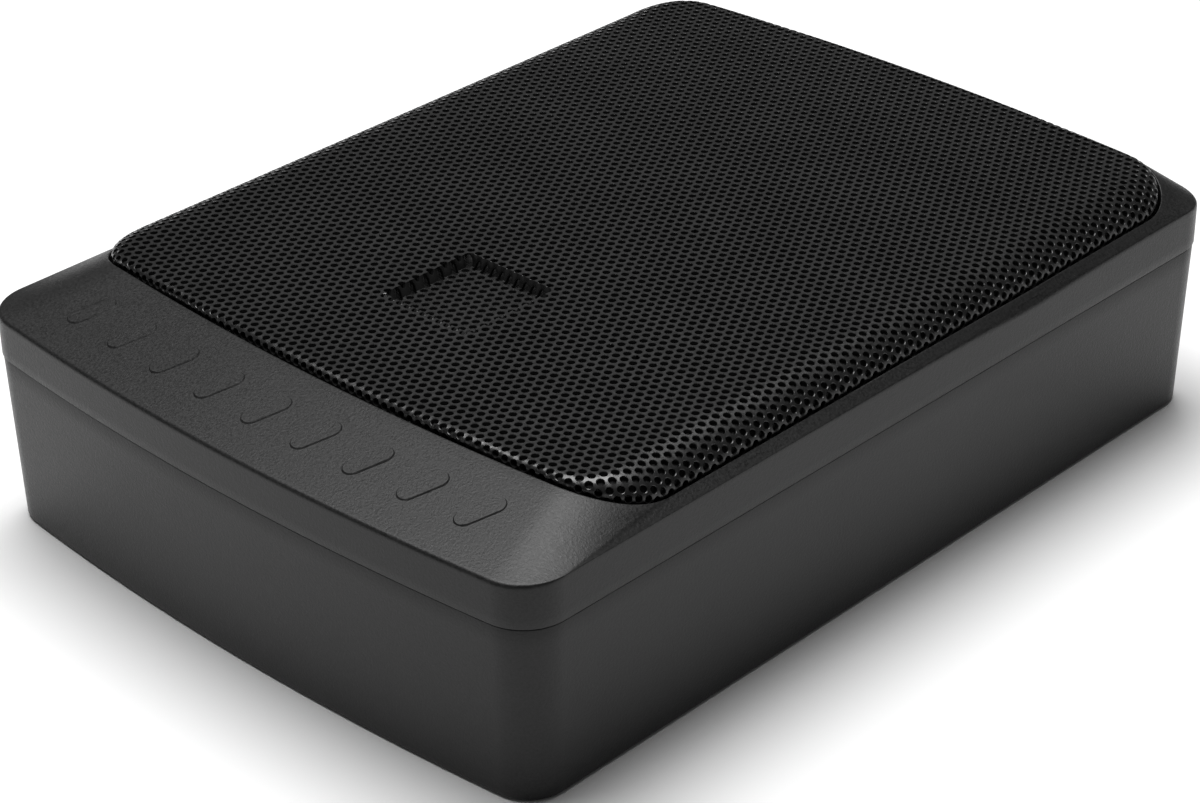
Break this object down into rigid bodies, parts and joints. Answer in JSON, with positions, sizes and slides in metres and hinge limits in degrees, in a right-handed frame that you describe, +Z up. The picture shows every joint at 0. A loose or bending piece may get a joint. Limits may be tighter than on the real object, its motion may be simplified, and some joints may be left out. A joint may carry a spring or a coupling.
{
  "type": "powered car subwoofer",
  "caption": "Slim rectangular under-seat subwoofer with a perforated steel grille, an oval woofer and an amplifier with rear controls and sockets.",
  "frame": {"origin": "middle of the underside of the casing", "axes": "+Z up, +Y towards the control panel at the rear, -Y towards the wide front shelf, X across the width"},
  "size_m": [0.2086, 0.2906, 0.0737],
  "materials": {
    "casing_plastic": "fine spark texture",
    "seal_rubber": "matt",
    "foam": "matt",
    "black_screw": "black zinc",
    "grille_steel": "satin powder coat",
    "cloth": "matt",
    "basket_steel": "satin",
    "surround_rubber": "satin",
    "cone_plastic": "satin",
    "former": "satin",
    "copper": "satin",
    "spider_cloth": "matt",
    "plated_steel": "zinc plated",
    "ferrite": "matt",
    "phenolic": "satin",
    "brass": "satin",
    "wire_red": "satin",
    "board_green": "solder mask",
    "bright_screw": "zinc plated",
    "heat_aluminium": "satin",
    "black_epoxy": "matt",
    "capacitor_sleeve": "gloss sleeve",
    "choke_core": "matt",
    "panel_plastic": "fine texture",
    "jack_plastic": "gloss",
    "plated_metal": "nickel",
    "socket_plastic": "satin",
    "pot_metal": "satin",
    "knob_plastic": "satin",
    "slider_plastic": "satin",
    "light_lens": "clear"
  },
  "bodies": {
    "casing": {"lower_housing": "casing_plastic", "upper_housing": "casing_plastic", "housing_gasket": "seal_rubber", "housing_screws": "black_screw", "grille": "grille_steel", "grille_screws": "black_screw", "grille_cloth": "cloth", "woofer_basket": "basket_steel", "woofer_gasket": "foam", "woofer_screws": "black_screw", "surround": "surround_rubber", "spider": "spider_cloth", "top_plate": "plated_steel", "magnet": "ferrite", "yoke": "plated_steel", "terminal_board": "phenolic", "terminals": "brass", "speaker_wires": "wire_red", "amp_board": "board_green", "board_screws": "bright_screw", "heat_spreader": "heat_aluminium", "power_transistors": "black_epoxy", "transistor_screws": "bright_screw", "capacitors": "capacitor_sleeve", "power_choke": "choke_core", "choke_winding": "copper", "control_chip": "black_epoxy", "control_panel": "panel_plastic", "panel_screws": "black_screw", "input_jacks": "jack_plastic", "jack_shells": "plated_metal", "jack_contacts": "brass", "power_socket": "socket_plastic", "power_pins": "plated_metal", "remote_socket": "socket_plastic", "remote_contacts": "brass", "pot_bodies": "pot_metal", "switch_bodies": "pot_metal", "power_light": "light_lens", "bracket_inserts": "brass"},
    "cone_assembly": {"cone": "cone_plastic", "dust_cap": "cone_plastic", "coil_former": "former", "coil_winding": "copper"},
    "level_control": {"level_shaft": "plated_metal", "level_knob": "knob_plastic"},
    "crossover_control": {"crossover_shaft": "plated_metal", "crossover_knob": "knob_plastic"},
    "phase_switch": {"phase_slider": "slider_plastic"},
    "input_switch": {"input_slider": "slider_plastic"}
  },
  "joints": [
    {"name": "cone_travel", "type": "slide", "parent": "casing", "child": "cone_assembly", "axis": [0, 0, 1], "range_m": [-0.005, 0.005], "stiffness_N_per_m": 3000, "deforming": ["surround", "spider"]},
    {"name": "level_turn", "type": "hinge", "parent": "casing", "child": "level_control", "pos_m": [-0.05121, 0.132, 0.0208], "axis": [0, 1, 0], "range_deg": [-150, 150]},
    {"name": "crossover_turn", "type": "hinge", "parent": "casing", "child": "crossover_control", "pos_m": [-0.03387, 0.132, 0.0208], "axis": [0, 1, 0], "range_deg": [-150, 150]},
    {"name": "phase_slide", "type": "slide", "parent": "casing", "child": "phase_switch", "axis": [1, 0, 0], "range_m": [0, 0.003]},
    {"name": "input_slide", "type": "slide", "parent": "casing", "child": "input_switch", "axis": [1, 0, 0], "range_m": [0, 0.003]}
  ]
}
